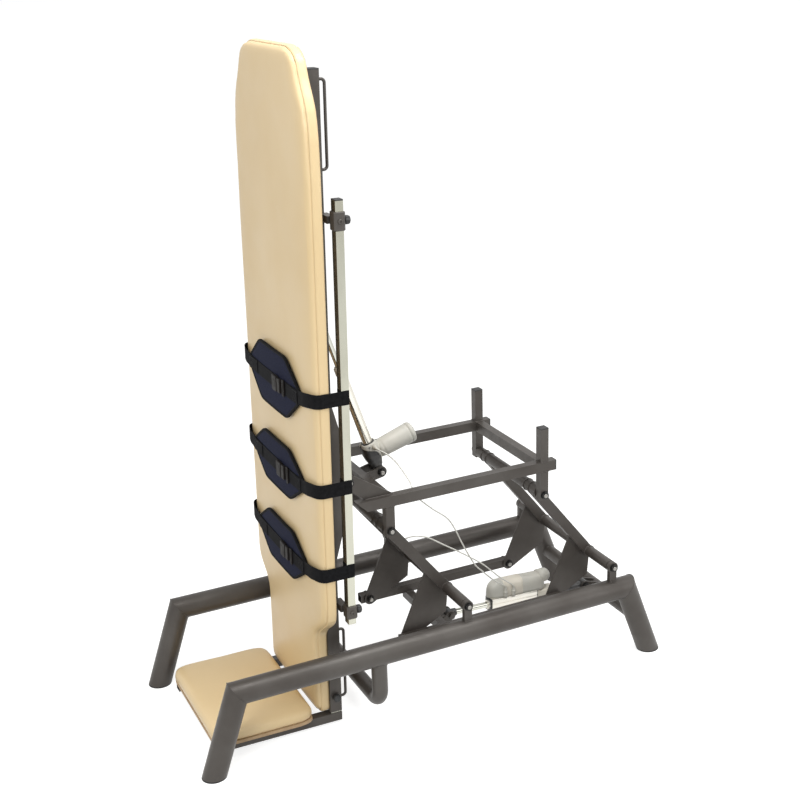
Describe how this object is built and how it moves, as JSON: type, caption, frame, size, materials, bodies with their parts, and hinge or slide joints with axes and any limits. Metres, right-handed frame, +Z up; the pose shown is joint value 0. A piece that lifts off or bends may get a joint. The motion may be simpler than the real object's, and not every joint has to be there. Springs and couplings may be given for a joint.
{
  "type": "physiotherapy tilt table",
  "caption": "Upholstered standing table that tilts from upright to flat on a parallelogram lift frame, with footboard, chromed side rails and padded belts.",
  "frame": {"origin": "on the floor under the middle of the base", "axes": "+Z up; +X from the patient's side towards the back, where the head end lies when the top is flat; +Y across the table"},
  "size_m": [1.7079, 0.69, 2.1652],
  "materials": {
    "frame_paint": "satin warm anthracite powder coat",
    "rubber": "matte",
    "zinc": "zinc plated",
    "black_plastic": "matte moulded",
    "cable": "satin sheath",
    "grey_plastic": "satin moulded light grey",
    "extrusion": "anodised",
    "dark_cast": "painted casting",
    "tilt_tube_paint": "satin",
    "chrome": "polished",
    "plywood": "raw plywood",
    "vinyl": "beige upholstery vinyl with a fine grain",
    "belt_padding": "navy knitted cover over foam",
    "webbing": "black woven webbing"
  },
  "bodies": {
    "base": {"base_rails": "frame_paint", "base_legs": "frame_paint", "foot_pads": "rubber", "drop_crossmember": "frame_paint", "rear_cross_tube": "frame_paint", "pivot_lugs": "frame_paint", "base_bolts": "zinc"},
    "front_arms": {"front_arm_bars": "frame_paint", "front_arm_tubes": "frame_paint", "front_arm_gussets": "frame_paint"},
    "rear_arms": {"rear_arm_bars": "frame_paint", "rear_arm_tubes": "frame_paint", "rear_arm_gussets": "frame_paint"},
    "upper_frame": {"frame_rails": "frame_paint", "frame_cross_members": "frame_paint", "frame_posts": "frame_paint", "frame_end_caps": "black_plastic", "hinge_lugs": "frame_paint", "frame_bolts": "zinc", "cable_clip": "black_plastic", "cable_motor": "cable"},
    "link_frame": {"link_bars": "frame_paint", "link_crossbar": "frame_paint", "link_bolts": "zinc", "lift_rod_bracket": "frame_paint"},
    "lift_actuator": {"lift_profile": "extrusion", "lift_gear_housing": "grey_plastic", "lift_motor_cover": "grey_plastic", "lift_control_box": "grey_plastic", "lift_rear_eye": "dark_cast", "cable_down": "cable", "cable_hand": "cable"},
    "lift_rod": {"lift_rod": "chrome", "lift_rod_eye": "dark_cast"},
    "tilt_actuator": {"tilt_tube": "tilt_tube_paint", "tilt_tube_cap": "grey_plastic", "tilt_gear_housing": "dark_cast", "tilt_motor": "grey_plastic"},
    "tilt_rod": {"tilt_rod": "chrome", "tilt_rod_eye": "dark_cast"},
    "tabletop": {"table_tubes": "frame_paint", "table_cross_members": "frame_paint", "table_end_plugs": "black_plastic", "hinge_plates": "frame_paint", "tilt_bracket": "frame_paint", "rail_brackets": "frame_paint", "lock_knobs": "black_plastic", "side_rails": "chrome", "grab_handles": "frame_paint", "table_board": "plywood", "cushion": "vinyl", "chest_pad": "belt_padding", "hip_pad": "belt_padding", "knee_pad": "belt_padding", "belt_webbing": "webbing", "belt_buckles": "black_plastic"},
    "footboard": {"foot_uprights": "chrome", "foot_side_bars": "frame_paint", "foot_board": "plywood", "foot_cushion": "vinyl"}
  },
  "joints": [
    {"name": "lift", "type": "hinge", "parent": "base", "child": "front_arms", "pos_m": [0.08328, 0, 0.361], "axis": [0, 1, 0], "range_deg": [-18, 8]},
    {"name": "rear_arms_follow", "type": "hinge", "parent": "base", "child": "rear_arms", "pos_m": [0.65228, 0, 0.361], "axis": [0, 1, 0], "range_deg": [-18.1, 8.1]},
    {"name": "frame_stays_level", "type": "hinge", "parent": "front_arms", "child": "upper_frame", "pos_m": [-0.14972, 0, 0.657], "axis": [0, 1, 0], "range_deg": [-8.1, 18.1]},
    {"name": "links_stay_level", "type": "hinge", "parent": "front_arms", "child": "link_frame", "pos_m": [-0.06672, 0, 0.211], "axis": [0, 1, 0], "range_deg": [-8.1, 18.1]},
    {"name": "lift_actuator_swing", "type": "hinge", "parent": "base", "child": "lift_actuator", "pos_m": [0.69527, -0.06, 0.172], "axis": [0, 1, 0], "range_deg": [-4.45, 2]},
    {"name": "lift_rod_stroke", "type": "slide", "parent": "lift_actuator", "child": "lift_rod", "axis": [-0.9989, 0, 0.0468], "range_m": [-0.0523, 0.0233]},
    {"name": "tilt", "type": "hinge", "parent": "upper_frame", "child": "tabletop", "pos_m": [-0.27775, 0, 0.845], "axis": [0, -1, 0], "range_deg": [-89, 0]},
    {"name": "tilt_actuator_swing", "type": "hinge", "parent": "upper_frame", "child": "tilt_actuator", "pos_m": [-0.08172, 0, 0.77], "axis": [0, -1, 0], "range_deg": [-93, 0]},
    {"name": "tilt_rod_stroke", "type": "slide", "parent": "tilt_actuator", "child": "tilt_rod", "axis": [-0.3079, 0, 0.9514], "range_m": [-0.2925, 0]},
    {"name": "footboard_slide", "type": "slide", "parent": "tabletop", "child": "footboard", "axis": [0.0175, 0, 0.9998], "range_m": [-0.07, 0]}
  ],
  "couplings": [
    {"joint": "rear_arms_follow", "follows": "lift", "ratio": 1},
    {"joint": "frame_stays_level", "follows": "lift", "ratio": -1},
    {"joint": "links_stay_level", "follows": "lift", "ratio": -1},
    {"joint": "lift_actuator_swing", "follows": "lift", "ratio": 0.245},
    {"joint": "lift_rod_stroke", "follows": "lift", "m_per_rad": 0.16616},
    {"joint": "tilt_actuator_swing", "follows": "tilt", "ratio": 1.043},
    {"joint": "tilt_rod_stroke", "follows": "tilt", "m_per_rad": 0.18788}
  ]
}
